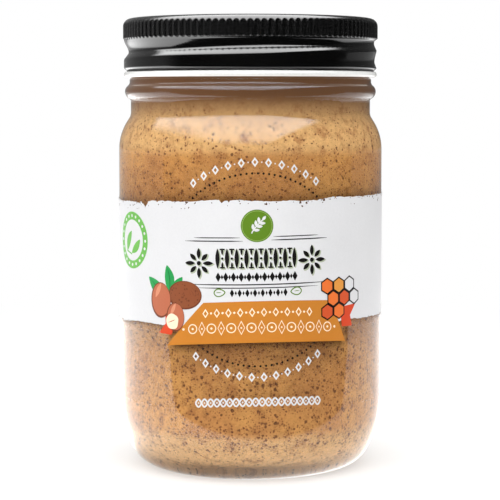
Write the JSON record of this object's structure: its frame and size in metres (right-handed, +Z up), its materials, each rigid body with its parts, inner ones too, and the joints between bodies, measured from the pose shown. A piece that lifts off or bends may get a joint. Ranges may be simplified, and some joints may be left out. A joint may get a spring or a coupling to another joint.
{
  "type": "almond butter jar",
  "caption": "Round glass jar filled with speckled almond butter, closed by a knurled black metal screw lid and wrapped in a clear printed film label.",
  "frame": {"origin": "centre of the plane of the foot ring, under the jar's axis", "axes": "+Z up the jar's axis from the foot ring to the lid; -Y is the front of the label, +X to its right"},
  "size_m": [0.0752, 0.0751, 0.1271],
  "materials": {
    "glass": "clear, smooth",
    "butter": "moist paste with dark specks",
    "lid": "gloss black enamel, white rolled edge",
    "label": "printed clear film, satin"
  },
  "bodies": {
    "root": {"glass_jar": "glass", "almond_butter": "butter", "lid": "lid", "label": "label"}
  },
  "joints": []
}
